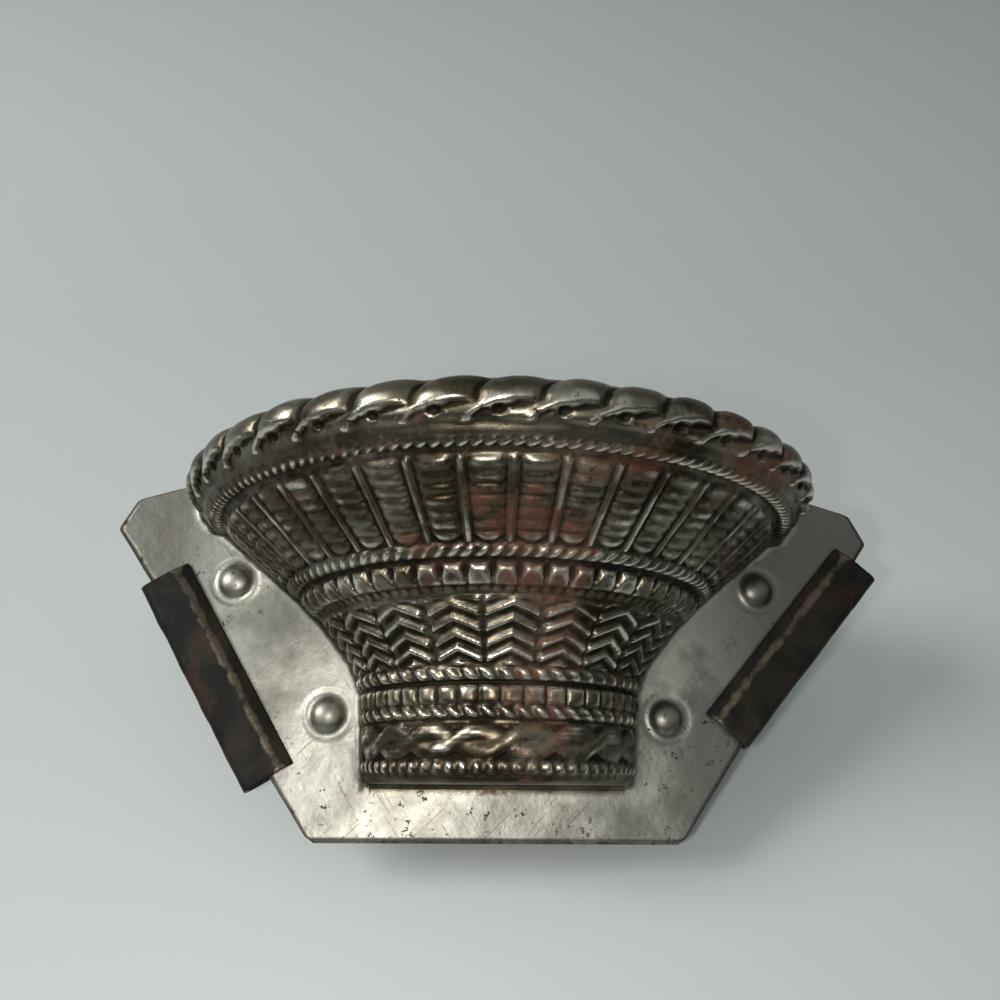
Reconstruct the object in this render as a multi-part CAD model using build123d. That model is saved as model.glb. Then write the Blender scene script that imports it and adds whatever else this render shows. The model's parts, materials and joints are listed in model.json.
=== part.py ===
# Two-part chocolate mold in the shape of a round, flared, woven basket.
# Both halves are stamped tinned sheet with a flat flange, held together by two folded spring clips.
# All lengths are millimetres. The halves are first drawn in the mold's own frame: the basket's axis
# runs along Z with its foot at Z = 0, the flanges meet on the plane Y = 0, and the front half
# bulges towards -Y. At the end everything is laid down the way the mold lies on a table.

from build123d import *
from math import asin, atan2, cos, degrees, hypot, radians, sin
import os

# Sheet and fits
sheet = 0.7                 # wall of both halves
mating_gap = 0.1            # between the two flanges
nest_gap = 0.15             # between a rear dimple and the front dimple over it

# Basket outline, as radius and height of the places where its raised rings sit
foot_radius = 26.2
foot_corner = 1.2           # rounding of the foot's lower edge
foot_ring = (26.5, 2.8)
teeth_ring = (27.0, 11.2)
waist_ring = (27.6, 18.0)
waist_bend = (30.2, 23.6)
dentil_ring = (36.0, 30.7)
belt_ring = (41.4, 36.0)
shoulder_ring = (57.2, 49.4)
ring_wire = 1.1             # radius of each raised ring
rim_centre = (58.8, 55.3)   # middle of the rim roll's section
rim_roll = 5.6              # radius of the rim roll
rim_height = rim_centre[1] + rim_roll

# Flange outline, right-hand side, as distance from the middle and height
flange_foot = (36.1, -10.8)
flange_tip = (80.0, 50.5)
flange_shoulder = (76.7, 57.0)
flange_neck = (64.2, 60.8)
flange_corner = 1.0         # rounding of the flange's corners

# Locating dimples in the flange
dimple_places = [(54.7, 39.8), (34.0, 13.1)]
dimple_radius = 3.7
dimple_height = 1.7

# Spring clips
clip_length = 46.5
clip_sheet = 0.8
clip_throat = 9.7           # lip to the inside of the fold
clip_lip_slope = 2.7        # width of the strip that slopes down to the lip
clip_ridge_rise = 1.15      # how far the ridge stands above the lip
clip_fold_drop = 0.35       # how far the wall comes back in at the fold
clip_fold_radius = 1.0
clip_ridge_radius = 0.7
clip_grip_gap = 0.05        # between a lip and the flange under it
left_clip_along = 38.1      # from the flange tip to the clip's middle, along the flange's edge
left_clip_inset = 6.6       # from the flange's edge to the lip, at the clip's middle
left_clip_skew = 3.8        # degrees that the clip is turned on the edge, upper end deeper
right_clip_along = 28.4
right_clip_inset = 7.25
right_clip_skew = -5.3

rest_flat = 0.35            # depth of the worn flats on the rear half, where the mold lies

BEYOND = 200.0              # larger than the mold, for cutting tools


def half_outline():
    """Section of the closed basket: one side of its outline, filled in to the axis."""
    foot = (foot_radius, foot_corner)
    roll_x, roll_z = rim_centre
    rim_start = (roll_x, roll_z - rim_roll)
    rim_crest = (roll_x + rim_roll, roll_z)
    rim_top = (roll_x, roll_z + rim_roll)
    with BuildSketch(Plane.XZ) as section:
        with BuildLine():
            Line((0, 0), (foot_radius - foot_corner, 0))
            RadiusArc((foot_radius - foot_corner, 0), foot, -foot_corner)
            Polyline(foot, foot_ring, teeth_ring, waist_ring)
            ThreePointArc(waist_ring, waist_bend, dentil_ring)
            Polyline(dentil_ring, belt_ring, shoulder_ring, rim_start)
            ThreePointArc(rim_start, rim_crest, rim_top)
            Polyline(rim_top, (0, rim_height), (0, 0))
        make_face()
        with Locations(foot_ring, teeth_ring, waist_ring, dentil_ring, belt_ring, shoulder_ring):
            Circle(ring_wire)
    return section.sketch


def basket_solid(face):
    """The whole round basket from a section."""
    return revolve(face, Axis.Z, 360)


def cavity_solid():
    """The hollow inside the sheet, open at the mouth."""
    inside = offset(half_outline(), amount=-sheet)
    core_height = rim_height - 2 * sheet
    core = Pos(foot_radius / 4, 0, sheet + core_height / 2) * (
        Plane.XZ * Rectangle(foot_radius / 2, core_height))
    mouth = Pos(rim_centre[0] / 2, 0, rim_height) * (
        Plane.XZ * Rectangle(rim_centre[0], 4 * sheet))
    return basket_solid(inside + core + mouth)


def flange_plate():
    """Flange of one half, from the mating gap outwards to -Y."""
    right = [flange_foot, flange_tip, flange_shoulder, flange_neck]
    left = [(-x, z) for x, z in reversed(right)]
    with BuildSketch(Plane.XZ) as outline:
        with BuildLine():
            Polyline(*right, *left, close=True)
        make_face()
        sharp = outline.vertices().filter_by(lambda v: abs(v.X) > flange_neck[0] or v.Z < 0)
        fillet(sharp, flange_corner)
    plate = extrude(outline.sketch, amount=sheet)
    return Pos(0, -mating_gap / 2, 0) * plate


def half_shell():
    """One plain half without its dimples, bulging to -Y."""
    front_side = Pos(0, -BEYOND / 2 - mating_gap / 2, 0) * Box(BEYOND, BEYOND, BEYOND * 2)
    bulge = basket_solid(half_outline()) & front_side
    return (bulge + flange_plate()) - cavity_solid()


def dimple_ball(shrink):
    """Ball of one dimple: the front dome's outside, or that shrunk by a wall or gap."""
    ball = (dimple_radius ** 2 + dimple_height ** 2) / (2 * dimple_height)
    centre_y = ball - dimple_height - sheet - mating_gap / 2
    return Pos(0, centre_y, 0) * Sphere(ball - shrink)


def dimple_spots():
    """Places of the four dimples on the plane between the halves."""
    return [Pos(side * x, 0, z) for x, z in dimple_places for side in (-1, 1)]


def keep_side(solid, front_of):
    """The part of a solid that lies in front of the plane Y = front_of."""
    cutter = Pos(0, front_of - BEYOND / 2, 0) * Box(BEYOND, BEYOND, BEYOND)
    return solid & cutter


def front_half():
    """Front stamping, with hollow dimples that dome outwards."""
    shell = half_shell()
    face = -sheet - mating_gap / 2
    for spot in dimple_spots():
        shell += spot * keep_side(dimple_ball(0), face + sheet / 2)
        shell -= spot * keep_side(dimple_ball(sheet), BEYOND / 2)
    return shell


def rear_half():
    """Rear stamping, with dimples that stand forward into the front half's dimples."""
    shell = mirror(half_shell(), Plane.XZ)
    face = mating_gap / 2
    for spot in dimple_spots():
        shell += spot * keep_side(dimple_ball(sheet + nest_gap), face + sheet / 2)
        shell -= spot * keep_side(dimple_ball(2 * sheet + nest_gap), BEYOND / 2)
    return shell


def clip_section():
    """Section of a clip: lips at X = 0, fold at the far end, drawn about the mating plane."""
    lip = mating_gap / 2 + sheet + clip_grip_gap
    ridge = lip + clip_ridge_rise
    fold = ridge - clip_fold_drop
    upper = [(0, lip), (clip_lip_slope, ridge), (clip_throat, fold)]
    lower = [(x, -y) for x, y in reversed(upper)]
    bends = [clip_ridge_radius, clip_fold_radius, clip_fold_radius, clip_ridge_radius]
    with BuildSketch() as section:
        with BuildLine():
            FilletPolyline(*upper, *lower, radius=bends)
            offset(amount=clip_sheet, side=Side.LEFT)
        make_face()
    return section.sketch


def clip_frame(side, along, inset, skew):
    """Plane of a clip's section: origin on the lip line, X pulled off outwards, Z along the clip."""
    run_x = flange_foot[0] - flange_tip[0]
    run_z = flange_foot[1] - flange_tip[1]
    run = hypot(run_x, run_z)
    down = (run_x / run, run_z / run)
    out = (-down[1], down[0])
    x = flange_tip[0] + down[0] * along - out[0] * inset
    z = flange_tip[1] + down[1] * along - out[1] * inset
    turn = radians(skew)
    out_x = out[0] * cos(turn) - out[1] * sin(turn)
    out_z = out[0] * sin(turn) + out[1] * cos(turn)
    return Plane(origin=(side * x, 0, z), x_dir=(side * out_x, 0, out_z),
                 z_dir=(side * -out_z, 0, out_x))


def clip(frame):
    """One folded clip, centred along its frame."""
    return extrude(frame * clip_section(), amount=clip_length / 2, both=True)


def lean_angle():
    """Slope in degrees of the straight line that touches the foot ring and the rim roll."""
    across = rim_centre[0] - foot_ring[0]
    up = rim_centre[1] - foot_ring[1]
    return degrees(atan2(across, up) + asin((rim_roll - ring_wire) / hypot(across, up)))


def wear_flat(piece, floor):
    """The piece without what would lie below the floor."""
    return piece & (Pos(0, 0, floor + BEYOND / 2) * Box(BEYOND, BEYOND, BEYOND))


def lay_down(pieces):
    """Turns the pieces onto the rear half's flats, the bottom middle of their box at the origin."""
    turned = {name: Rot(lean_angle() - 90, 0, 0) * piece for name, piece in pieces.items()}
    floor = turned["rear_half"].bounding_box().min.Z + rest_flat
    turned["rear_half"] = wear_flat(turned["rear_half"], floor)
    box = Compound(list(turned.values())).bounding_box()
    middle = box.center()
    shift = Pos(-middle.X, -middle.Y, -floor)
    return {name: shift * piece for name, piece in turned.items()}, shift


left_frame = clip_frame(-1, left_clip_along, left_clip_inset, left_clip_skew)
right_frame = clip_frame(1, right_clip_along, right_clip_inset, right_clip_skew)

standing = {
    "front_half": front_half(),
    "rear_half": rear_half(),
    "left_clip": clip(left_frame),
    "right_clip": clip(right_frame),
}
lying, shift = lay_down(standing)

os.makedirs("parts", exist_ok=True)
for name, piece in lying.items():
    export_step(piece, f"parts/{name}.step")
    print(name, "volume", round(piece.volume, 1), "solids", len(piece.solids()))

turn = Rot(lean_angle() - 90, 0, 0)
for name, frame in [("left_clip", left_frame), ("right_clip", right_frame)]:
    pull = (turn * Pos(frame.x_dir)).position
    lip = (shift * turn * Pos(frame.origin)).position
    print(name, "pulls off along", tuple(pull), "from", tuple(lip))
print("front_half lifts along", tuple((turn * Pos(0, -1, 0)).position))
print("lean", lean_angle(), "shift", tuple(shift.position))
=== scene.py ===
# A two-part chocolate mold in the shape of a woven basket, lying on its rear half.
# The halves and clips are drawn in the mold's own frame, in millimetres: the basket's axis along Z with
# its foot at 0, the flanges on the plane Y = 0, the front half bulging to -Y. They are then laid down.

import bpy
import bmesh
import json
import numpy as np
from math import atan2, cos, degrees, hypot, pi, radians, sin, sqrt, tan
from mathutils import Matrix, Vector
from types import SimpleNamespace


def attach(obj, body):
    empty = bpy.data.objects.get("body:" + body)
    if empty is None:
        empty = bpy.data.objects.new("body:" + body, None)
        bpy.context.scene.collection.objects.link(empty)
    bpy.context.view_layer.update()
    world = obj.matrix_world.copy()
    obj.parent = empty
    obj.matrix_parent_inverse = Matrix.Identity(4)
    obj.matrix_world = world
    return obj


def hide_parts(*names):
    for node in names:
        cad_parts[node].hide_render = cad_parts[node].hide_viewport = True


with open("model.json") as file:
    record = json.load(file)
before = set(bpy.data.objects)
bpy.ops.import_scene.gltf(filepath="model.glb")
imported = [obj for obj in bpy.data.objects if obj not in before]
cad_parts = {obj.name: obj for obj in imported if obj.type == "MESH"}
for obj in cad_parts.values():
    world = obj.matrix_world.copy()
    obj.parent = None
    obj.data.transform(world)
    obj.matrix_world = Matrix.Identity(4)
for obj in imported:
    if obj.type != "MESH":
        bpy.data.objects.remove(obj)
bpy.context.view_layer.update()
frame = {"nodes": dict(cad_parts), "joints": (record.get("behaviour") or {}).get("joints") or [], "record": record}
scene = bpy.context.scene
print("stage 1: frame loaded")


# how the mold lies: the lift joint gives its turn, the mount on the foot gives its place

liftJoint = next(j for j in frame["joints"] if j["name"] == "front_half_lift")
footMount = next(m for m in frame["record"]["mounts"] if m["name"] == "foot_face")
footMountPlace = Vector((0.00044861, 0.012, 0))           # that mount in the mold's own frame, metres

moldX = Vector((1, 0, 0))
moldY = -Vector(liftJoint["axis"]).normalized()
moldZ = moldX.cross(moldY)
moldTurn = Matrix((moldX, moldY, moldZ)).transposed()
moldOrigin = Vector(footMount["pos_m"]) - moldTurn @ footMountPlace


def layDown(points):
    # points in the mold's own frame, mm, to where the mold lies, metres
    turn = np.array(moldTurn)
    return points @ turn.T / 1000 + np.array(moldOrigin)


def fromMold(x, y, z):
    return moldOrigin + moldTurn @ (Vector((x, y, z)) / 1000)


# camera

# its place is in the mold's own frame, in millimetres, and so are its two directions
view = dict(
    place=(-9.45, -185.71, -1.47), forward=(0.0485, 0.9496, 0.3096), down=(0.0234, 0.3088, -0.9508),
    lens=32.4)


def addCamera():
    data = bpy.data.cameras.new("camera")
    data.sensor_width = 36
    data.lens = view["lens"]
    data.clip_start = 0.005
    data.clip_end = 20
    camera = bpy.data.objects.new("camera", data)
    scene.collection.objects.link(camera)
    back = -(moldTurn @ Vector(view["forward"])).normalized()
    up = -(moldTurn @ Vector(view["down"]))
    right = up.cross(back).normalized()
    up = back.cross(right)
    turn = Matrix((right, up, back)).transposed().to_4x4()
    camera.matrix_world = Matrix.Translation(fromMold(*view["place"])) @ turn
    scene.camera = camera


addCamera()


# small helpers

def smooth(low, high, x):
    t = np.clip((x - low) / (high - low), 0, 1)
    return t * t * (3 - 2 * t)


def hump(x, halfWidth, power=2.0):
    return np.clip(1 - np.abs(x / halfWidth) ** power, 0, 1)


def wave(x):
    return 0.5 + 0.5 * np.cos(2 * pi * x)


def fromNearest(x):
    return x - np.round(x)


def ripple(a, b, size, seed, octaves=3):
    # smooth unevenness between about -1 and 1 over two coordinates
    rng = np.random.default_rng(seed)
    total = np.zeros(np.broadcast(a, b).shape)
    for step in range(octaves):
        for _ in range(5):
            angle = rng.uniform(0, 2 * pi)
            phase = rng.uniform(0, 2 * pi)
            reach = size / 2 ** step * rng.uniform(0.75, 1.35)
            total += np.sin((a * cos(angle) + b * sin(angle)) * 2 * pi / reach + phase) / 2 ** step
    return total / 4.2


def roundedPath(points, radii, step):
    # points along a line whose inner corners are arcs, with the normal to the left of each
    points = [Vector(p) for p in points]
    path = [points[0]]
    for before, corner, after, radius in zip(points, points[1:], points[2:], radii):
        toBefore = (before - corner).normalized()
        toAfter = (after - corner).normalized()
        half = toBefore.angle(toAfter) / 2
        if radius > 0:
            middle = corner + (toBefore + toAfter).normalized() * radius / sin(half)
            start = corner + toBefore * radius / tan(half)
            first = start - middle
            turn = pi - 2 * half
            sign = 1 if (-toBefore).x * toAfter.y - (-toBefore).y * toAfter.x > 0 else -1
            count = max(2, int(turn * radius / step) + 1)
            for i in range(count + 1):
                path.append(middle + Matrix.Rotation(sign * turn * i / count, 2) @ first)
        else:
            path.append(corner)
    path.append(points[-1])
    line = np.array([tuple(p) for p in path])
    keep = np.concatenate(([True], np.hypot(*np.diff(line, axis=0).T) > 1e-6))
    line = line[keep]
    length = np.concatenate(([0], np.cumsum(np.hypot(*np.diff(line, axis=0).T))))
    return line, length


def newObject(name, bm, material, smoothShade=True):
    mesh = bpy.data.meshes.new(name)
    bm.to_mesh(mesh)
    bm.free()
    for polygon in mesh.polygons:
        polygon.use_smooth = smoothShade
    piece = bpy.data.objects.new(name, mesh)
    scene.collection.objects.link(piece)
    if material:
        mesh.materials.append(material)
    return piece


def makeShell(name, columns, rows, coarse, place, pickEdges, extraCuts, material):
    # a closed wall: a fine outer grid and a coarser inner one, joined round the edge, then moved into shape.
    # place gets column, row and layer (0 outside, 1 inside) and gives points in mm with their attributes
    bm = bmesh.new()
    apart = 0.2
    for cell, depth in ((1, 0), (coarse, -apart)):
        grid = bmesh.ops.create_grid(bm, x_segments=columns // cell, y_segments=rows // cell, size=0.5)
        for v in grid["verts"]:
            v.co = Vector(((v.co.x + 0.5) * columns, (v.co.y + 0.5) * rows, depth))
    if coarse > 1:
        rim = [e for e in bm.edges if e.is_boundary and e.verts[0].co.z < -apart / 2]
        bmesh.ops.subdivide_edges(bm, edges=rim, cuts=coarse - 1)
    bmesh.ops.bridge_loops(bm, edges=[e for e in bm.edges if e.is_boundary])
    for wanted, cuts in extraCuts:
        bmesh.ops.subdivide_edges(bm, edges=pickEdges(bm, wanted), cuts=cuts, use_grid_fill=True)
    index = np.array([tuple(v.co) for v in bm.verts])
    points, masks = place(index[:, 0], index[:, 1], np.clip(-index[:, 2] / apart, 0, 1))
    layers = {key: bm.verts.layers.float.new(key) for key in masks}
    flat = bm.verts.layers.float_vector.new("moldPlace")
    world = layDown(points)
    for i, v in enumerate(bm.verts):
        v.co = world[i]
        v[flat] = points[i] / 1000
        for key, layer in layers.items():
            v[layer] = masks[key][i]
    bmesh.ops.remove_doubles(bm, verts=bm.verts, dist=4e-6)
    bmesh.ops.dissolve_degenerate(bm, edges=bm.edges, dist=2e-6)
    bmesh.ops.recalc_face_normals(bm, faces=bm.faces)
    return newObject(name, bm, material)


# tin sheet and clip finishes

def startGroup(name, inputs, outputs):
    group = bpy.data.node_groups.new(name, "ShaderNodeTree")
    for key, kind, value in inputs:
        socket = group.interface.new_socket(key, in_out="INPUT", socket_type=kind)
        if value is not None:
            socket.default_value = value
    for key, kind in outputs:
        group.interface.new_socket(key, in_out="OUTPUT", socket_type=kind)
    start = group.nodes.new("NodeGroupInput")
    end = group.nodes.new("NodeGroupOutput")
    return group, start, end


def wiring(tree, vector=None):
    # short names for the nodes of one tree; a value may be a number, a colour or another node's output
    nodes, links = tree.nodes, tree.links

    def feed(socket, value):
        if isinstance(value, tuple):
            socket.default_value = (*value, 1)
        elif isinstance(value, (int, float)):
            socket.default_value = value
        else:
            links.new(value, socket)

    def combine(operation, a, b, clamp=False):
        node = nodes.new("ShaderNodeMath")
        node.operation = operation
        node.use_clamp = clamp
        feed(node.inputs[0], a)
        feed(node.inputs[1], b)
        return node.outputs["Value"]

    def noise(scale, detail=4.0, roughness=0.55, distortion=0.0):
        node = nodes.new("ShaderNodeTexNoise")
        feed(node.inputs["Vector"], vector)
        feed(node.inputs["Scale"], scale)
        feed(node.inputs["Detail"], detail)
        feed(node.inputs["Roughness"], roughness)
        feed(node.inputs["Distortion"], distortion)
        return node.outputs["Fac"]

    def ramp(value, low, high, fromValue=0.0, toValue=1.0):
        node = nodes.new("ShaderNodeMapRange")
        node.interpolation_type = "SMOOTHSTEP"
        feed(node.inputs["Value"], value)
        feed(node.inputs["From Min"], low)
        feed(node.inputs["From Max"], high)
        feed(node.inputs["To Min"], fromValue)
        feed(node.inputs["To Max"], toValue)
        return node.outputs["Result"]

    def mix(factor, a, b):
        node = nodes.new("ShaderNodeMix")
        node.data_type = "RGBA"
        feed(node.inputs["Factor"], factor)
        feed(node.inputs["A"], a)
        feed(node.inputs["B"], b)
        return node.outputs["Result"]

    def attribute(name, output="Fac"):
        node = nodes.new("ShaderNodeAttribute")
        node.attribute_name = name
        return node.outputs[output]

    def effect(group, **values):
        node = nodes.new("ShaderNodeGroup")
        node.node_tree = group
        feed(node.inputs["Vector"], vector)
        for key, value in values.items():
            feed(node.inputs[key], value)
        return node.outputs["Mask"]

    def bump(height, target):
        node = nodes.new("ShaderNodeBump")
        node.inputs["Strength"].default_value = 1.0
        node.inputs["Distance"].default_value = 0.001
        links.new(height, node.inputs["Height"])
        links.new(node.outputs["Normal"], target)

    return SimpleNamespace(
        plus=lambda a, b, clamp=False: combine("ADD", a, b, clamp),
        minus=lambda a, b: combine("SUBTRACT", a, b),
        times=lambda a, b: combine("MULTIPLY", a, b),
        share=lambda a, b: combine("DIVIDE", a, b, True),
        most=lambda a, b, clamp=False: combine("MAXIMUM", a, b, clamp),
        waver=lambda amount, *values: combine("MULTIPLY", combine("SUBTRACT", noise(*values), 0.5), amount),
        noise=noise, ramp=ramp, mix=mix, attribute=attribute, effect=effect, bump=bump)


def makeBlotchGroup():
    # patches with ragged edges, broken up by a finer grain
    group, start, end = startGroup(
        "blotches",
        [("Vector", "NodeSocketVector", None), ("Size", "NodeSocketFloat", 60.0),
         ("Grain", "NodeSocketFloat", 700.0), ("Cover", "NodeSocketFloat", 0.5),
         ("Softness", "NodeSocketFloat", 0.06)],
        [("Mask", "NodeSocketFloat")])
    vector, size, grain, cover, softness = start.outputs[:5]
    w = wiring(group, vector)
    both = w.plus(w.noise(size, 5, 0.62), w.waver(0.22, grain, 3, 0.5))
    above = w.minus(both, w.minus(1.0, cover))
    group.links.new(w.share(above, softness), end.inputs["Mask"])
    return group


def makeScratchGroup():
    # long thin marks in one direction: a noise stretched along it and cut to its peaks
    group, start, end = startGroup(
        "scratches",
        [("Vector", "NodeSocketVector", None), ("Angle", "NodeSocketFloat", 0.0),
         ("Fineness", "NodeSocketFloat", 900.0), ("Amount", "NodeSocketFloat", 0.5)],
        [("Mask", "NodeSocketFloat")])
    vector, angle, fineness, amount = start.outputs[:4]
    turn = group.nodes.new("ShaderNodeVectorRotate")
    turn.rotation_type = "Y_AXIS"
    group.links.new(vector, turn.inputs["Vector"])
    group.links.new(angle, turn.inputs["Angle"])
    stretch = group.nodes.new("ShaderNodeMapping")
    stretch.inputs["Scale"].default_value = (0.035, 0.3, 1.0)
    group.links.new(turn.outputs["Vector"], stretch.inputs["Vector"])
    w = wiring(group, stretch.outputs["Vector"])
    above = w.minus(w.noise(fineness, 2, 0.7), w.minus(0.86, w.times(amount, 0.3)))
    group.links.new(w.share(above, 0.05), end.inputs["Mask"])
    return group


blotches = makeBlotchGroup()
scratches = makeScratchGroup()


def startMaterial(name):
    material = bpy.data.materials.new(name)
    material.use_nodes = True
    return material, material.node_tree.links, material.node_tree.nodes["Principled BSDF"]


# colours are linear; a noise is its scale, detail and roughness; limits are where a ramp starts and ends;
# each entry of marks is an angle, a fineness and an amount
tinFinish = dict(
    bright=(0.40, 0.388, 0.340), grey=(0.125, 0.121, 0.104), pewter=(0.070, 0.056, 0.036),
    dull=(0.175, 0.155, 0.115), worn=(0.66, 0.62, 0.53), soot=(0.012, 0.009, 0.006),
    rust=(0.088, 0.028, 0.013), speck=(0.030, 0.023, 0.018), scored=(0.13, 0.12, 0.10), specular=0.3,
    clouds=(38, 6, 0.65, 0.4), cloudLimits=(0.36, 0.62),
    bodyClouds=(55, 5, 0.6), bodyCloudLimits=(0.42, 0.62),
    wearNoise=(130, 4, 0.6), wearLimits=(-0.12, -0.42), dirtNoise=(420, 4), dirtLimits=(0.02, 0.30),
    marks=[(0.75, 1500, 0.66), (-0.95, 1900, 0.60)],
    patches=dict(Size=42.0, Grain=900.0, Softness=0.08), thinNoise=(210, 5, 0.7), thinLimits=(0.36, 0.56),
    rustDots=dict(Size=150, Grain=1500, Cover=0.33, Softness=0.03),
    specks=dict(Size=620, Grain=3000, Cover=0.375, Softness=0.03),
    speckAreas=(30, 2), speckLimits=(0.42, 0.56),
    edgeNoise=(520, 6, 0.65), edgeLimits=(0.86, 1.12), roughness=0.24, grain=(260, 6, 0.7), dents=(90, 2),
    pits=(900, 4, 0.6))


def makeTinMaterial(name, shift):
    f = tinFinish
    material, links, shader = startMaterial(name)
    place = material.node_tree.nodes.new("ShaderNodeMapping")
    place.inputs["Location"].default_value = shift
    w = wiring(material.node_tree, place.outputs["Vector"])
    links.new(w.attribute("moldPlace", "Vector"), place.inputs["Vector"])
    onBody = w.attribute("onBody")
    groove = w.attribute("groove")
    onFlange = w.minus(1.0, onBody)

    # bare metal: cloudy on the flange, and greyer towards its right side and its left tip as painted shade; dark
    # on the basket and bright where its high places are worn
    cloudsAndPaintedShade = w.most(w.times(w.ramp(w.noise(*f["clouds"]), *f["cloudLimits"]), 0.8), w.attribute("greySide"))
    flangeTone = w.mix(cloudsAndPaintedShade, f["bright"], f["grey"])
    bodyTone = w.mix(w.ramp(w.noise(*f["bodyClouds"]), *f["bodyCloudLimits"]), f["pewter"], f["dull"])
    wear = w.times(w.ramp(w.plus(groove, w.waver(0.9, *f["wearNoise"])), *f["wearLimits"]), onBody)
    bodyTone = w.mix(w.times(wear, 0.85), bodyTone, f["worn"])
    colour = w.mix(onBody, flangeTone, bodyTone)

    # scratches on the flange
    (angleA, finenessA, amountA), (angleB, finenessB, amountB) = f["marks"]
    marksA = w.effect(scratches, Angle=angleA, Fineness=finenessA, Amount=amountA)
    marksB = w.effect(scratches, Angle=angleB, Fineness=finenessB, Amount=amountB)
    marks = w.times(w.most(marksA, marksB), onFlange)
    colour = w.mix(w.times(marks, 0.7), colour, f["scored"])

    # rust in patches and dots, less on the worn places, and soot in the grooves
    patches = w.effect(blotches, Cover=w.plus(w.times(w.attribute("rusty"), 0.20), 0.40), **f["patches"])
    thin = w.ramp(w.noise(*f["thinNoise"]), *f["thinLimits"], 0.45, 1.0)
    dots = w.times(w.effect(blotches, **f["rustDots"]), w.plus(w.times(onBody, 0.8), 0.15))
    rust = w.most(w.times(w.times(patches, thin), onBody), dots, clamp=True)
    rust = w.times(rust, w.minus(1.0, w.times(wear, 0.7)))
    colour = w.mix(w.times(rust, 0.9), colour, f["rust"])
    soot = w.times(w.ramp(w.plus(groove, w.waver(0.5, *f["dirtNoise"])), *f["dirtLimits"]), onBody)
    colour = w.mix(w.times(soot, 0.9), colour, f["soot"])

    # dirt along the flange's edge and in small specks
    edgeDirt = w.ramp(w.plus(w.attribute("nearEdge"), w.waver(1.1, *f["edgeNoise"])), *f["edgeLimits"])
    specks = w.times(w.effect(blotches, **f["specks"]), w.ramp(w.noise(*f["speckAreas"]), *f["speckLimits"]))
    dirt = w.most(w.times(edgeDirt, onFlange), specks)
    colour = w.mix(w.times(dirt, 0.85), colour, f["speck"])
    links.new(colour, shader.inputs["Base Color"])

    cover = w.most(rust, w.times(dirt, 0.5))
    links.new(w.minus(1.0, w.times(cover, 0.85)), shader.inputs["Metallic"])
    shader.inputs["Specular IOR Level"].default_value = f["specular"]
    matt = w.most(w.most(w.times(rust, 0.85), soot), dirt, clamp=True)
    polish = w.minus(w.plus(f["roughness"], w.times(onFlange, 0.08)), w.times(wear, 0.07))
    shine = w.plus(w.times(w.noise(*f["grain"]), 0.18), polish)
    links.new(w.plus(shine, w.times(matt, 0.30), clamp=True), shader.inputs["Roughness"])

    height = w.plus(w.times(w.noise(*f["dents"]), 0.28), w.times(w.noise(*f["pits"]), 0.05))
    height = w.minus(w.minus(height, w.times(marks, 0.010)), w.times(matt, 0.015))
    w.bump(height, shader.inputs["Normal"])
    return material


clipFinish = dict(
    # the worn colour is bare metal at the edges, and on the ridge also a painted highlight
    brown=(0.024, 0.019, 0.013), dark=(0.008, 0.007, 0.006), worn=(0.17, 0.135, 0.10),
    rust=(0.040, 0.018, 0.010),
    specular=0.18, clouds=(70, 6, 0.65, 0.5), cloudLimits=(0.40, 0.62),
    patches=dict(Size=90.0, Grain=1200.0, Cover=0.43, Softness=0.05), wearNoise=(300, 5, 0.7),
    wearLimits=(0.62, 1.0), roughness=0.42, grain=(500, 6, 0.7), dents=(160, 3), pits=(1100, 4))


def makeClipMaterial():
    f = clipFinish
    material, links, shader = startMaterial("clip steel, brown patina")
    place = wiring(material.node_tree).attribute("moldPlace", "Vector")
    w = wiring(material.node_tree, place)
    colour = w.mix(w.ramp(w.noise(*f["clouds"]), *f["cloudLimits"]), f["dark"], f["brown"])
    colour = w.mix(w.times(w.effect(blotches, **f["patches"]), 0.6), colour, f["rust"])
    # lighter along the ridge, the fold and the ends: worn metal, and on the ridge also a painted highlight,
    # widened into a broad bright band
    wear = w.ramp(w.plus(w.attribute("ridge"), w.waver(1.3, *f["wearNoise"])), *f["wearLimits"])
    links.new(w.mix(w.times(wear, 0.75), colour, f["worn"]), shader.inputs["Base Color"])
    links.new(w.plus(w.times(wear, 0.6), 0.25), shader.inputs["Metallic"])
    shader.inputs["Specular IOR Level"].default_value = f["specular"]
    rough = w.plus(w.times(w.noise(*f["grain"]), 0.25), f["roughness"])
    links.new(w.minus(rough, w.times(wear, 0.16)), shader.inputs["Roughness"])
    height = w.plus(w.times(w.noise(*f["dents"]), 0.20), w.times(w.noise(*f["pits"]), 0.05))
    w.bump(height, shader.inputs["Normal"])
    return material


tinFront = makeTinMaterial("tinned sheet, front half", (0, 0, 0))
tinRear = makeTinMaterial("tinned sheet, rear half", (0.3, 0.1, 0.2))
clipSteel = makeClipMaterial()
print("stage 2: finishes made")


# section of the basket

basket = dict(
    sheet=0.7, innerSheet=0.5, matingGap=0.1, footRadius=26.2, footCorner=1.2, rimCentre=(58.8, 55.3),
    rimRoll=5.6, rimJoin=58, braidDepth=1.5, fillet=1.5, footBend=1.0, rimSquash=0.30,
    outline=[(26.2, 1.2), (26.5, 2.8), (27.0, 11.2), (27.6, 18.0), (30.2, 23.6), (36.0, 30.7), (41.4, 36.0),
             (57.2, 49.4)],
    bodyColumns=288, flangeColumns=14, filletColumns=3, rowStep=0.43, rimStep=0.45, belowRows=8, bendRows=3,
    discRows=8, cornerRows=3)


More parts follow.
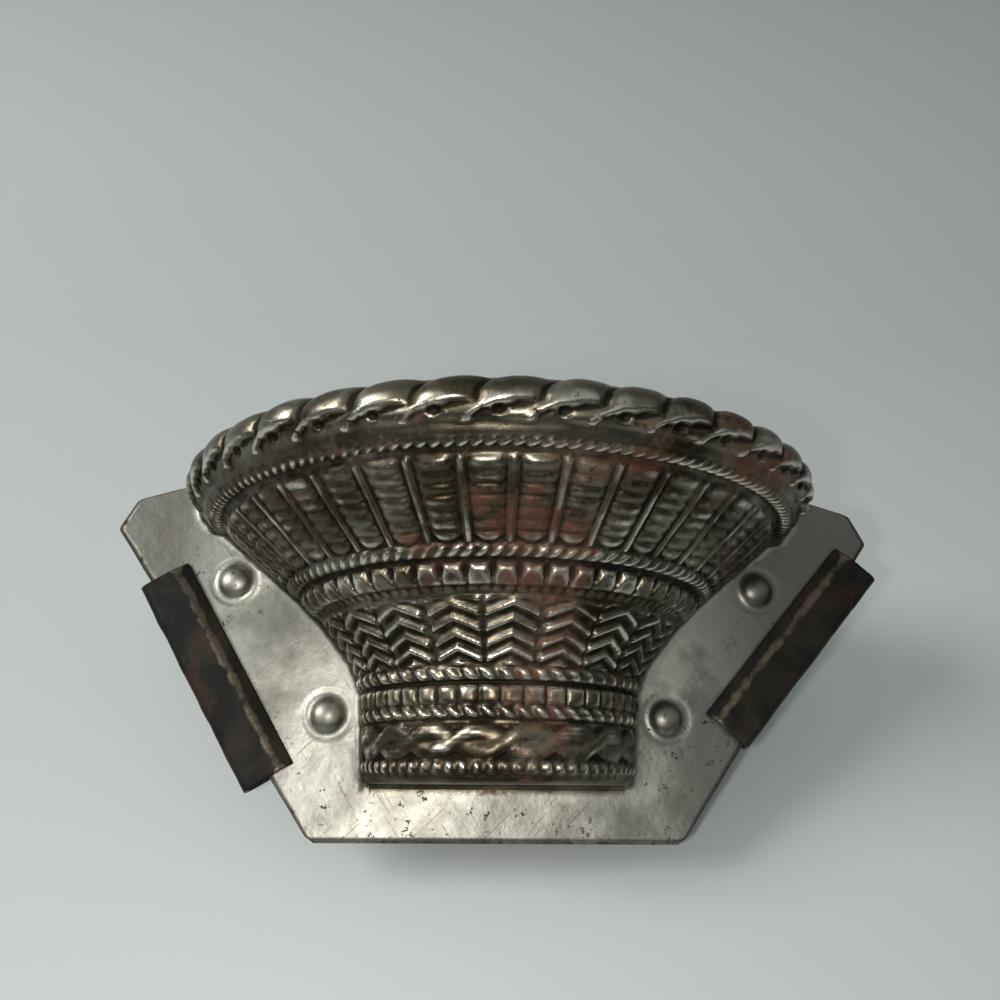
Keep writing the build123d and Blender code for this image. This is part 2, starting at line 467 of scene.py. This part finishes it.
def sectionRows():
    # one entry per row: kind (0 flat strip, 1 bend, 2 foot disc, 3 wall), radius, height, share of its kind,
    # angle round the rim roll, way past the shoulder
    b = basket
    rows = []
    low = flange["foot"][1]
    flat = b["footRadius"] - b["footCorner"]
    for i in range(b["belowRows"]):
        rows.append((0, flat, low + (-b["footBend"] - low) * i / b["belowRows"], 0, -90, -99))
    for i in range(b["bendRows"] + 1):
        rows.append((1, flat, 0, 90 * i / b["bendRows"], -90, -99))
    for i in range(1, b["discRows"] + 1):
        rows.append((2, flat, 0, i / b["discRows"], -90, -99))
    for i in range(1, b["cornerRows"]):
        angle = radians(90 * i / b["cornerRows"])
        radius = b["footRadius"] - b["footCorner"] * (1 - sin(angle))
        rows.append((3, radius, b["footCorner"] * (1 - cos(angle)), 0, -90, -99))
    line = np.array(b["outline"])
    fineZ = np.linspace(line[0, 1], line[-1, 1], 1200)
    fineR = np.interp(fineZ, line[:, 1], line[:, 0])
    # the outline's corners are eased over this many steps
    wide = 30
    before, after = 2 * fineR[0] - fineR[wide:0:-1], 2 * fineR[-1] - fineR[-2:-wide - 2:-1]
    padded = np.concatenate((before, fineR, after))
    fineR = np.convolve(padded, np.ones(2 * wide + 1) / (2 * wide + 1), "valid")
    way = np.concatenate(([0], np.cumsum(np.hypot(np.diff(fineR), np.diff(fineZ)))))
    count = int(way[-1] / b["rowStep"])
    for t in np.linspace(0, way[-1], count + 1):
        rows.append((3, np.interp(t, way, fineR), np.interp(t, way, fineZ), 0, -90, t - way[-1]))
    rollX, rollZ = b["rimCentre"]
    angles = np.linspace(-90, 90, 200)
    reach = b["rimRoll"] - b["braidDepth"] * smooth(-90, -52, angles) * (1 - smooth(48, 88, angles))
    rollR = rollX + reach * np.cos(np.radians(angles))
    # the roll's top is flatter than its underside
    squash = 1 - b["rimSquash"] * smooth(-10, 40, angles) * (1 - 0.4 * smooth(75, 90, angles))
    rollH = rollZ + reach * np.sin(np.radians(angles)) * squash
    gap = hypot(rollR[0] - fineR[-1], rollH[0] - fineZ[-1])
    rollWay = gap + np.concatenate(([0], np.cumsum(np.hypot(np.diff(rollR), np.diff(rollH)))))
    count = int(rollWay[-1] / b["rimStep"])
    count += (len(rows) - 1 + count) % 2
    for t in np.linspace(0, rollWay[-1], count + 1)[1:]:
        if t < gap:
            r = fineR[-1] + (rollR[0] - fineR[-1]) * t / gap
            rows.append((3, r, fineZ[-1] + (rollH[0] - fineZ[-1]) * t / gap, 0, -90, t))
        else:
            angle = np.interp(t, rollWay, angles)
            rows.append((3, np.interp(t, rollWay, rollR), np.interp(t, rollWay, rollH), 0, angle, t))
    return np.array(rows)


# woven relief, in mm out of the section, over the angle in degrees from the front and the height

weave = dict(
    sideFade=(74, 88), sideLoss=0.7, roughness=0.10,
    braidPitch=9.0, tailAt=-8.0, tailHeight=0.95, lobeHeight=1.5, braidStart=-58,
    pitAt=-3.1, pitAngle=-33.0, pitRadius=1.05,
    shoulderRope=dict(at=1.25, half=1.15, pitch=2.13, height=0.85),
    windows=dict(low=37.9, high=48.2, pitch=9.0, stakeAt=-0.6, ribs=7, stake=0.32, floor=-0.45, crest=0.62),
    beltRope=dict(at=36.75, half=0.85, pitch=3.3, height=0.95),
    blocks=dict(low=32.2, high=34.95, pitch=6.6, at=-1.2, height=0.85),
    dentils=dict(at=31.1, pitch=3.3),
    chevrons=dict(low=19.8, high=30.1, turn=18.0, peakAt=1.3, rise=1.0, pitch=2.35, ridgeAt=26.2,
                  height=0.52),
    waistRope=dict(at=18.35, half=1.2, pitch=6.5, height=0.95),
    staves=dict(low=13.15, high=16.6, pitch=8.2, at=-5.6, height=0.72),
    teeth=dict(at=11.95, half=1.05, pitch=6.5, height=0.9), teethLine=10.6,
    plait=dict(at=6.95, swing=1.65, turn=38.0, half=1.75, height=0.5, low=3.9, high=10.1),
    footBeads=dict(at=2.75, half=1.15, pitch=5.3, height=0.75))


def braidRelief(theta, angle):
    w = weave
    v = (angle - w["braidStart"]) / (90 - w["braidStart"])
    s = (theta - w["tailAt"]) / w["braidPitch"]
    left = -0.09 + 0.29 * smooth(0, 0.32, v) + 0.30 * smooth(0.3, 0.95, v)
    right = np.minimum(0.11 + 0.9 * np.clip(v / 0.29, 0, 1.2) ** 4, left + 0.975)
    p = np.mod(s - left, 1.0) + left
    across = (p - left) / (right - left)
    strand = np.sqrt(np.clip(1 - np.abs(2 * across - 1) ** 2.3, 0, 1))
    tall = w["tailHeight"] + (w["lobeHeight"] - w["tailHeight"]) * smooth(0.1, 0.4, v)
    lobe = strand * tall
    space = np.clip((p - right) / np.maximum(left + 1 - right, 0.02), 0, 1)
    floor = 0.12 + 0.45 * smooth(0.45, 1.0, space) * smooth(-0.02, 0.12, v)
    pit = ((theta - w["pitAt"]) / w["braidPitch"])
    alongMm = fromNearest(pit) * radians(w["braidPitch"]) * 61
    upMm = (angle - w["pitAngle"]) * radians(1) * 5.1
    away = np.hypot(alongMm, upMm) / w["pitRadius"]
    floor = floor - 0.65 * (1 - smooth(0.55, 1.1, away)) + 0.18 * hump(away - 1.15, 0.35)
    height = np.where(across <= 1, np.maximum(lobe, 0), floor)
    height = height * (1 - smooth(0.74, 0.97, v))
    return height * smooth(-0.03, 0.05, v)


def windowRelief(theta, z):
    w = weave["windows"]
    ribPitch = (w["high"] - w["low"]) / w["ribs"]
    away = np.abs(fromNearest((theta - w["stakeAt"]) / w["pitch"]))
    f = np.mod((w["high"] - z) / ribPitch, 1.0)
    rib = np.sqrt(np.clip(1 - np.abs(2 * f - 1) ** 2.2, 0, 1))
    fromFoot = np.clip((z - w["low"]) / 1.7, 0, 1)
    halfWidth = 0.13 + 0.29 * np.sqrt(np.clip(1 - (1 - fromFoot) ** 2, 0, 1))
    side = np.clip((0.5 - away) / halfWidth, 0, 1.3)
    dome = np.clip(1 - side ** 3.0, 0, 1)
    pillow = w["floor"] + dome * (0.42 + (w["crest"] - w["floor"] - 0.42) * rib)
    stake = w["stake"] * (1 - smooth(0.055, 0.105, away))
    return np.maximum(pillow, stake + (w["floor"]) * smooth(0.05, 0.11, away))


def beadRow(theta, z, row, slant=0.0, floor=0.35, sharp=1.0):
    up = (z - row["at"]) / row["half"]
    bead = wave(theta / row["pitch"] + slant * up) ** sharp
    return row["height"] * np.sqrt(hump(up, 1.0)) * (floor + (1 - floor) * bead)


def blockRelief(theta, z):
    w = weave["blocks"]
    away = np.abs(fromNearest((theta - w["at"]) / w["pitch"]))
    up = (z - w["low"]) / (w["high"] - w["low"])
    notch = 0.05 + 0.20 * smooth(0.25, 1.0, up)
    solid = smooth(0.2, 1.25, (0.5 - away) / notch)
    return -0.35 + (w["height"] + 0.35) * solid * np.sqrt(hump(up - 0.45, 0.56, 4))


def chevronRelief(theta, z):
    w = weave["chevrons"]
    t = (theta - w["peakAt"]) / w["turn"]
    bend = 1 - 4 * np.abs(fromNearest(t))
    ridge = wave((z - w["rise"] * bend - w["ridgeAt"]) / w["pitch"]) ** 1.3
    toValley = np.abs(fromNearest(t - 0.5)) * w["turn"]
    deep = np.where(np.mod(np.round(t - 0.5), 2) == 0, 1.5, 0.8)
    bar = 1 - smooth(0.35 * deep, 1.25 * deep, toValley)
    return (-0.32 + (w["height"] + 0.32) * ridge) * (1 - 0.8 * bar) - 0.38 * bar


def staveRelief(theta, z):
    w = weave["staves"]
    away = np.abs(fromNearest((theta - w["at"]) / w["pitch"]))
    up = (z - w["low"]) / (w["high"] - w["low"])
    body = np.sqrt(np.clip(1 - (2.02 * away) ** 2.4, 0, 1)) * np.sqrt(hump(up - 0.5, 0.52, 4))
    return -0.32 + (w["height"] + 0.32) * body


def plaitRelief(theta, z):
    w = weave["plait"]
    swing = w["swing"] * np.sin(2 * pi * theta / w["turn"])
    upper = hump(z - w["at"] - swing, w["half"])
    lower = hump(z - w["at"] + swing, w["half"])
    over = 0.18 * np.cos(2 * pi * theta / w["turn"])
    strands = np.maximum(np.sqrt(upper) * (1 + over), np.sqrt(lower) * (1 - over))
    fibres = 0.06 * np.cos(2 * pi * (z - w["at"]) / 0.8)
    return -0.35 + (w["height"] + 0.35) * strands + fibres * strands


def band(z, low, high, soft=0.16):
    return smooth(low - soft, low + soft, z) * (1 - smooth(high - soft, high + soft, z))


def reliefAt(theta, z, angle, past):
    # past is the way along the section beyond the shoulder, negative below it
    w = weave
    total = np.zeros(theta.shape)
    below = past < 0.35
    zBody = np.where(below, z, 99.0)

    def lay(values, low, high, soft=0.16):
        return values * band(zBody, low, high, soft)

    total += lay(beadRow(theta, z, w["footBeads"], 0.0), 1.5, 3.9)
    total += lay(plaitRelief(theta, z), w["plait"]["low"], w["plait"]["high"])
    line = w["teethLine"]
    total += lay(-0.36 - 0.06 * wave(theta / w["teeth"]["pitch"]), line - 0.3, line + 0.35)
    total += lay(beadRow(theta, z, w["teeth"], 0.28, 0.05, 1.3), line + 0.35, 13.15)
    total += lay(staveRelief(theta, z), w["staves"]["low"], w["staves"]["high"])
    total += lay(-0.40 + 0 * z, w["staves"]["high"], 17.25)
    total += lay(beadRow(theta, z, w["waistRope"], 0.20, 0.25), 17.25, 19.7)
    total += lay(chevronRelief(theta, z), w["chevrons"]["low"], w["chevrons"]["high"])
    dentil = wave(theta / w["dentils"]["pitch"]) ** 0.7 * smooth(-0.6, 0.5, z - w["dentils"]["at"])
    total += lay(-0.38 + 0.5 * dentil, 30.45, 31.8)
    total += lay(blockRelief(theta, z), w["blocks"]["low"] - 0.2, w["blocks"]["high"])
    total += lay(-0.38 - 0.05 * wave(theta / 3.3) + 0 * z, 35.0, 35.75)
    total += lay(beadRow(theta, z, w["beltRope"], -0.35, 0.35), 35.75, 37.75)
    total += lay(windowRelief(theta, z), w["windows"]["low"] - 0.1, w["windows"]["high"] + 0.05)
    top = w["windows"]["high"]
    total -= 0.28 * smooth(top - 0.1, top + 0.3, zBody) * below * (1 - smooth(-0.1, 0.3, past))
    rope = w["shoulderRope"]
    up = (past - rope["at"]) / rope["half"]
    bead = wave(theta / rope["pitch"] - 0.42 * up) ** 1.2
    ropeOn = np.sqrt(hump(up, 1.0))
    total += rope["height"] * ropeOn * (0.30 + 0.70 * bead)
    rim = braidRelief(theta, angle)
    total += np.where(angle > -89, rim, 0)
    uneven = w["roughness"] * ripple(theta * 0.7, z + past * 0.3, 9, 3)
    total += uneven * smooth(0.5, 3, z) * (1 - smooth(60, 88, angle))
    fade = 1 - w["sideLoss"] * smooth(*w["sideFade"], np.abs(theta))
    return total * fade


# flange outline and dimples

flange = dict(
    foot=(36.1, -10.8), tip=(79.8, 50.5), shoulder=(76.6, 57.0), neck=(64.2, 60.8), top=(63.4, 61.9),
    corner=1.0, ease=0.55, waver=0.10,
    dimples=[(54.7, 39.8), (34.0, 13.1)], dimpleRadius=3.7, dimpleHeight=1.65, ringDepth=0.16, cuts=4)


def flangeEdge(z):
    # half width of the flange at a height, with its corners eased
    f = flange
    points = np.array([f["foot"], f["tip"], f["shoulder"], f["neck"], f["top"]])
    total = 0
    offsets = np.linspace(-f["ease"], f["ease"], 9)
    for step in offsets:
        total = total + np.interp(z + step, points[:, 1], points[:, 0])
    total = total / len(offsets)
    up = np.clip((z - f["foot"][1]) / f["corner"], 0, 1)
    return total - f["corner"] * (1 - np.sqrt(1 - (1 - up) ** 2))


def dimpleRise(x, z, scale):
    # how far the sheet is pushed out at a place on the flange, and the shallow ring pressed round the dome
    f = flange
    rise = np.zeros(np.broadcast(x, z).shape)
    for dx, dz in f["dimples"]:
        away = np.hypot(np.abs(x) - dx, z - dz) / scale
        dome = np.clip(1 - (away / f["dimpleRadius"]) ** 2, 0, 1)
        radius = f["dimpleRadius"]
        rise += f["dimpleHeight"] * scale * dome ** 0.85 * smooth(radius + 0.2, radius - 1.2, away)
        rise -= f["ringDepth"] * hump(away - radius - 0.75, 0.8)
    return rise


def sample(table, u, v):
    # value of a grid table between its whole columns and rows
    u0 = np.clip(np.floor(u).astype(int), 0, table.shape[0] - 2)
    v0 = np.clip(np.floor(v).astype(int), 0, table.shape[1] - 2)
    fu, fv = u - u0, v - v0
    return ((1 - fu) * (1 - fv) * table[u0, v0] + fu * (1 - fv) * table[u0 + 1, v0]
            + (1 - fu) * fv * table[u0, v0 + 1] + fu * fv * table[u0 + 1, v0 + 1])


def spread(table, steps, combine):
    # each cell takes in its neighbours, over and over
    for _ in range(steps):
        padded = np.pad(table, 1, mode="edge")
        across, down = table.shape
        table = combine([padded[i:i + across, j:j + down] for i in range(3) for j in range(3)])
    return table


def makeHalf(name, rear, material):
    b, f = basket, flange
    rows = sectionRows()
    kind, rowR, rowZ, rowShare, rowAngle, rowPast = rows.T
    slopeR, slopeZ = np.gradient(rowR), np.gradient(rowZ)
    wall = kind == 3
    first = int(np.argmax(wall))
    slopeR[first:], slopeZ[first:] = np.gradient(rowR[first - 1:])[1:], np.gradient(rowZ[first - 1:])[1:]
    size = np.hypot(slopeR, slopeZ) + 1e-9
    normalR, normalZ = slopeZ / size, -slopeR / size
    normalR[:first], normalZ[:first] = 1, 0
    columns = b["bodyColumns"] + 2 * (b["flangeColumns"] + b["filletColumns"])
    count = len(rows) - 1
    fc, kc, bc = b["flangeColumns"], b["filletColumns"], b["bodyColumns"]
    face = b["sheet"] + b["matingGap"] / 2
    widest = b["rimJoin"] + b["fillet"]
    sideAngle = degrees(atan2(sqrt(widest ** 2 - (face + b["fillet"]) ** 2), face + b["fillet"]))

    def columnAngle(u):
        return np.clip((u - fc - kc) / bc, 0, 1) * 2 * sideAngle - sideAngle

    # the relief over the whole grid, its average round each place, and the least of it for the inside
    gridAngle = np.repeat(columnAngle(np.arange(columns + 1.0))[:, None], count + 1, axis=1)
    gridRows = [np.broadcast_to(row, gridAngle.shape) for row in (rowZ, rowAngle, rowPast)]
    gridRelief = reliefAt(gridAngle, *gridRows) * wall
    low = spread(gridRelief, 5, lambda parts: sum(parts) / 9)
    least = spread(gridRelief, 1, np.minimum.reduce)
    least = np.minimum(spread(least, 1, lambda parts: sum(parts) / 9), gridRelief)

    def place(u, v, layer):
        rowValue = lambda table: np.interp(v, np.arange(count + 1), table)
        r, z = rowValue(rowR), rowValue(rowZ)
        share, angle, past = rowValue(rowShare), rowValue(rowAngle), rowValue(rowPast)
        nr, nz = rowValue(normalR), rowValue(normalZ)
        rowKind = kind[np.clip(np.round(v).astype(int), 0, count)]
        theta = columnAngle(u)
        side = np.where(u < columns / 2, -1.0, 1.0)
        fillet = b["fillet"]
        middleX = np.sqrt(np.maximum((r + fillet) ** 2 - (face + fillet) ** 2, 1))
        joinAngle = np.degrees(np.arctan2(middleX, face + fillet))
        theta = theta * joinAngle / sideAngle
        turn = np.radians(theta)
        points = np.zeros((len(u), 3))
        normals = np.zeros((len(u), 3))
        inBody = (u >= fc + kc) & (u <= fc + kc + bc)
        inFillet = ((u >= fc) & (u < fc + kc)) | ((u > fc + kc + bc) & (u <= fc + 2 * kc + bc))
        inFlange = ~(inBody | inFillet)
        # wall rows on the body
        points[:, 0], points[:, 1], points[:, 2] = r * np.sin(turn), -r * np.cos(turn), z
        normals[:, 0], normals[:, 1], normals[:, 2] = nr * np.sin(turn), -nr * np.cos(turn), nz
        # fillet between body and flange
        alongFillet = np.where(u < columns / 2, (fc + kc - u) / kc, (u - fc - kc - bc) / kc)
        alongFillet = np.clip(alongFillet, 0, 1)
        startTurn = np.radians(joinAngle)
        sweep = startTurn * (1 - alongFillet)
        filletX = middleX - fillet * np.sin(sweep)
        filletY = -face - fillet + fillet * np.cos(sweep)
        nX, nY = np.sin(sweep), -np.cos(sweep)
        points[inFillet, 0] = (side * filletX)[inFillet]
        points[inFillet, 1] = filletY[inFillet]
        normals[inFillet, 0] = (side * nX)[inFillet]
        normals[inFillet, 1] = nY[inFillet]
        normals[inFillet, 2] = (nz * (1 - alongFillet))[inFillet]
        # flange
        toEdge = np.where(u < columns / 2, (fc - u) / fc, (u - fc - 2 * kc - bc) / fc)
        toEdge = np.clip(toEdge, 0, 1)
        edge = np.maximum(flangeEdge(z), middleX)
        edge = edge - f["waver"] * (1 + ripple(z, 0 * z + side * 30, 17, 8)) * (z < 60)
        edge = np.maximum(edge, middleX)
        flangeX = middleX + (edge - middleX) * toEdge
        points[inFlange, 0] = (side * flangeX)[inFlange]
        points[inFlange, 1] = -face
        normals[inFlange] = (0, -1, 0)
        # strip below the foot, its bend and the foot disc
        bodyOrFillet = inBody | inFillet
        footX = np.where(inBody, r * np.sin(turn), side * filletX)
        room = np.maximum(r * np.cos(turn) - face, 0)
        bend = np.minimum(b["footBend"], room * 0.5)
        flat = bodyOrFillet & (rowKind == 0)
        points[flat, 0], points[flat, 1], points[flat, 2] = footX[flat], -face, z[flat]
        normals[flat] = (0, -1, 0)
        bending = bodyOrFillet & (rowKind == 1)
        a = np.radians(share)
        points[bending, 0] = footX[bending]
        points[bending, 1] = (-face - bend * (1 - np.cos(a)))[bending]
        points[bending, 2] = (-bend + bend * np.sin(a))[bending]
        normals[bending] = np.c_[0 * a, -np.cos(a), -np.sin(a)][bending]
        disc = inBody & (rowKind == 2)
        points[disc, 0] = footX[disc]
        points[disc, 1] = (-face - bend - (np.maximum(room - bend, 0)) * share)[disc]
        points[disc, 2] = 0
        normals[disc] = (0, 0, -1)
        # out by the relief on the outside, in by the sheet on the inside
        body = inBody & (rowKind == 3)
        taper = np.where(inFillet & (rowKind == 3), (1 - alongFillet) ** 2, 0)
        relief = np.where(body, reliefAt(theta, z, angle, past), 0)
        atSide = reliefAt(np.sign(theta + 1e-9) * joinAngle, z, angle, past)
        relief = relief + taper * np.where(rowKind == 3, atSide, 0)
        inner = sample(least, np.clip(u, 0, columns), v) * bodyOrFillet * np.where(inFillet, taper, 1)
        full = b["sheet"]
        thickness = np.where(bodyOrFillet & (rowKind == 3), b["innerSheet"], full)
        endRows = smooth(count - 4, count, v)
        thickness = thickness * (1 - endRows) + full * endRows
        thickness = np.where(inFillet, thickness + (full - thickness) * alongFillet, thickness)
        thickness = np.where(inFlange, full, thickness)
        out = np.where(layer > 0.5, inner - thickness, relief)
        normals /= np.linalg.norm(normals, axis=1)[:, None]
        points += normals * out[:, None]
        plate = inFlange | flat
        rise = dimpleRise(points[:, 0], points[:, 2], 0.9 if rear else 1.0)
        points[plate, 1] += (rise if rear else -rise)[plate]
        grooves = sample(low, u, v) - np.where(layer > 0.5, inner, relief)
        nearSide = np.clip(1 - (edge - flangeX) / 6, 0, 1)
        nearFoot = np.clip(1 - (z - f["foot"][1]) / 6, 0, 1)
        nearTips = np.maximum(smooth(25, 62, points[:, 0]), smooth(-52, -70, points[:, 0]))
        masks = dict(
            onBody=np.where(inFlange | (rowKind == 0), 0.0, np.where(inFillet, 1 - alongFillet, 1.0)),
            groove=np.where(body, grooves, 0),
            nearEdge=np.where(inFlange, nearSide, nearFoot * flat),
            # painted shade: the flange is drawn greyer towards its right side and its left tip
            greySide=np.where(inFlange | flat, nearTips * 0.9, 0.3),
            rusty=np.where(past > 2.4, smooth(25, 50, theta) * 0.7, smooth(34, 20, np.abs(theta)) * 0.4))
        if rear:
            points[:, 1] *= -1
            points += np.maximum(-layDown(points)[:, 2:], 0) * 1000 * np.array(moldTurn)[2]
        return points, masks

    def alongRows(bm, wanted):
        # edges of the outer grid that run along a row, and whose ends both fit
        index = np.array([tuple(v.co) for v in bm.verts])
        fits = wanted(index) & (index[:, 2] > -0.05)
        bm.verts.index_update()
        return [e for e in bm.edges if fits[e.verts[0].index] and fits[e.verts[1].index]
                and abs(e.verts[0].co.y - e.verts[1].co.y) < 0.1]

    def nearDimple(index):
        where = place(index[:, 0], index[:, 1], np.zeros(len(index)))[0]
        reach = f["dimpleRadius"] + 3.0
        near = np.zeros(len(index), bool)
        for x, z in f["dimples"]:
            near |= (np.abs(np.abs(where[:, 0]) - x) < reach) & (np.abs(where[:, 2] - z) < reach)
        return near & ((index[:, 0] <= fc + 0.1) | (index[:, 0] >= columns - fc - 0.1))

    def onRope(index):
        past = np.interp(index[:, 1], np.arange(count + 1), rowPast)
        return (index[:, 0] >= fc + kc) & (index[:, 0] <= fc + kc + bc) & (past > 0) & (past < 2.6)

    extraCuts = [(nearDimple, f["cuts"]), (onRope, 1)]
    return makeShell(name, columns, count, 2, place, alongRows, extraCuts, material)


frontHalf = makeHalf("front_half_tin", False, tinFront)
print("stage 3: front half", len(frontHalf.data.polygons), "faces")
rearHalf = makeHalf("rear_half_tin", True, tinRear)
print("stage 4: rear half", len(rearHalf.data.polygons), "faces")


# spring clips

clips = dict(
    length=46.5, sheet=0.8, throat=9.7, lipSlope=2.7, ridgeRise=1.15, foldDrop=0.35, foldRadius=1.0,
    ridgeRadius=0.7, gripGap=0.05, rows=92, around=84, hammer=0.10, edge=[(36.1, -10.8), (80.0, 50.5)],
    left=dict(side=-1, along=38.1, inset=6.6, skew=3.8, seed=5),
    right=dict(side=1, along=28.4, inset=7.25, skew=-5.3, seed=11))


def clipFrame(side, along, inset, skew):
    # lip point, pull direction and run of a clip, in the mold's own frame
    foot, tip = Vector(clips["edge"][0]), Vector(clips["edge"][1])
    down = (foot - tip).normalized()
    out = Vector((-down.y, down.x))
    origin = tip + down * along - out * inset
    turned = Matrix.Rotation(radians(skew), 2) @ out
    return (np.array((side * origin.x, 0, origin.y)), np.array((side * turned.x, 0, turned.y)),
            np.array((side * -turned.y, 0, turned.x)))


def makeClip(name, place, material):
    c = clips
    lip = basket["matingGap"] / 2 + basket["sheet"] + c["gripGap"]
    ridge = lip + c["ridgeRise"]
    fold = ridge - c["foldDrop"]
    upper = [(0, lip), (c["lipSlope"], ridge), (c["throat"], fold)]
    lower = [(x, -y) for x, y in reversed(upper)]
    bends = [c["ridgeRadius"], c["foldRadius"], c["foldRadius"], c["ridgeRadius"]]
    line, way = roundedPath(upper + lower, bends, 0.16)
    heading = np.gradient(line, axis=0)
    heading /= np.hypot(*heading.T)[:, None]
    outward = np.c_[-heading[:, 1], heading[:, 0]]
    origin, pull, run = clipFrame(place["side"], place["along"], place["inset"], place["skew"])
    across = np.array((0.0, -1.0, 0.0))
    seed = place["seed"]

    def shape(u, v, layer):
        t = u / c["around"] * way[-1]
        x = np.interp(t, way, line[:, 0])
        y = np.interp(t, way, line[:, 1])
        ox, oy = np.interp(t, way, outward[:, 0]), np.interp(t, way, outward[:, 1])
        size = np.hypot(ox, oy)
        ox, oy = ox / size, oy / size
        along = (v / c["rows"] - 0.5) * c["length"]
        dent = ripple(along, t, 11, seed) + ripple(along, t * 0.4, 5, seed + 1) * 0.4
        dent = (dent - 1) * c["hammer"] * smooth(0.3, 2.5, x)
        out = np.where(layer < 0.5, c["sheet"] + dent, 0)
        points = origin + (x + ox * out)[:, None] * pull + (y + oy * out)[:, None] * across
        points = points + along[:, None] * run
        # this mask marks worn metal, and across the ridge also a painted highlight
        atRidge = np.exp(-((x - c["lipSlope"] + 0.3) / 1.2) ** 2)
        atFold = np.exp(-((x - c["throat"] - 0.2) / 0.5) ** 2)
        nearEnd = smooth(c["length"] / 2 - 1.0, c["length"] / 2, np.abs(along))
        return points, dict(ridge=np.clip(0.9 * atRidge + 0.6 * atFold + 0.5 * nearEnd, 0, 1))

    return makeShell(name, c["around"], c["rows"], 1, shape, None, [], material)


leftClip = makeClip("left_clip_steel", clips["left"], clipSteel)
rightClip = makeClip("right_clip_steel", clips["right"], clipSteel)
print("stage 5: clips", len(leftClip.data.polygons), "faces each")


# what rides on what

for piece, body, node, slot in [
        (frontHalf, "front", "front_half", "tinned_sheet"),
        (rearHalf, "rear", "rear_half", "tinned_sheet"),
        (leftClip, "left_clip", "left_clip", "clip_steel"),
        (rightClip, "right_clip", "right_clip", "clip_steel")]:
    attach(piece, body)
    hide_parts(node)
for node, solid in frame["nodes"].items():
    solid.data.materials.clear()
    solid.data.materials.append(clipSteel if "clip" in node else tinRear)


# floor, backdrop and light

# lengths are in metres, apart from the flash's place, which is in the mold's own frame in millimetres
studio = dict(
    floor=(0.57, 0.605, 0.595), backdrop=(0.53, 0.555, 0.555), shade=(0.17, 0.18, 0.178),
    wallAt=(0.16, 0.30), shadeAt=(-0.10, -0.26), bendAt=0.20, bendRadius=0.14, bendSteps=16, width=3.0,
    front=-1.2, height=1.6,
    key=0.155, keyPlace=(-27, -190, -8), keySize=0.010, keyColour=(1, 0.97, 0.92),
    soft=6.5, softPlace=(-0.78, -0.20, 0.76), softSize=0.5, softColour=(1, 1, 0.99),
    ceiling=(0.43, 0.46, 0.46), room=(0.035, 0.036, 0.038), beyond=(0.34, 0.36, 0.36), ceilingAt=(0.10, 0.65))


def makeStage():
    s = studio
    bm = bmesh.new()
    left = -s["width"] / 2
    spots = [bm.verts.new((left, s["front"], 0)), bm.verts.new((left, s["bendAt"], 0))]
    for i in range(1, s["bendSteps"] + 1):
        a = radians(90 * i / s["bendSteps"])
        spot = (left, s["bendAt"] + s["bendRadius"] * sin(a), s["bendRadius"] * (1 - cos(a)))
        spots.append(bm.verts.new(spot))
    spots.append(bm.verts.new((left, s["bendAt"] + s["bendRadius"], s["height"])))
    edges = [bm.edges.new(pair) for pair in zip(spots, spots[1:])]
    extruded = bmesh.ops.extrude_edge_only(bm, edges=edges)["geom"]
    moved = [v for v in extruded if isinstance(v, bmesh.types.BMVert)]
    bmesh.ops.translate(bm, verts=moved, vec=(s["width"], 0, 0))
    bmesh.ops.recalc_face_normals(bm, faces=bm.faces)
    material, links, shader = startMaterial("paper sweep")
    nodes = material.node_tree.nodes
    split = nodes.new("ShaderNodeSeparateXYZ")
    links.new(nodes.new("ShaderNodeTexCoord").outputs["Object"], split.inputs["Vector"])
    w = wiring(material.node_tree)
    floorTone = w.mix(w.ramp(split.outputs["Y"], *s["shadeAt"]), s["floor"], s["shade"])
    wallward = w.ramp(w.plus(split.outputs["Y"], split.outputs["Z"]), *s["wallAt"])
    links.new(w.mix(wallward, floorTone, s["backdrop"]), shader.inputs["Base Color"])
    shader.inputs["Roughness"].default_value = 0.75
    stage = newObject("sweep", bm, material)


def addLamp(name, place, target, size, energy, colour):
    data = bpy.data.lights.new(name, "AREA")
    data.shape = "DISK"
    data.size = size
    data.energy = energy
    data.color = colour
    lamp = bpy.data.objects.new(name, data)
    scene.collection.objects.link(lamp)
    lamp.location = place
    lamp.rotation_euler = (Vector(target) - Vector(place)).to_track_quat("-Z", "Y").to_euler()


def addLight():
    s = studio
    addLamp("flash", fromMold(*s["keyPlace"]), (0, 0, 0.05), s["keySize"], s["key"], s["keyColour"])
    addLamp("soft top", s["softPlace"], (0, 0, 0.03), s["softSize"], s["soft"], s["softColour"])
    world = bpy.data.worlds.new("room")
    scene.world = world
    world.use_nodes = True
    nodes, links = world.node_tree.nodes, world.node_tree.links
    split = nodes.new("ShaderNodeSeparateXYZ")
    links.new(nodes.new("ShaderNodeTexCoord").outputs["Object"], split.inputs["Vector"])
    w = wiring(world.node_tree)
    roomLight = w.mix(w.ramp(split.outputs["Z"], *s["ceilingAt"]), s["room"], s["ceiling"])
    seen = nodes.new("ShaderNodeLightPath").outputs["Is Camera Ray"]
    links.new(w.mix(seen, roomLight, s["beyond"]), nodes["Background"].inputs["Color"])
    scene.view_settings.view_transform = "Standard"


makeStage()
addLight()
print("stage 6: sweep and lamps")
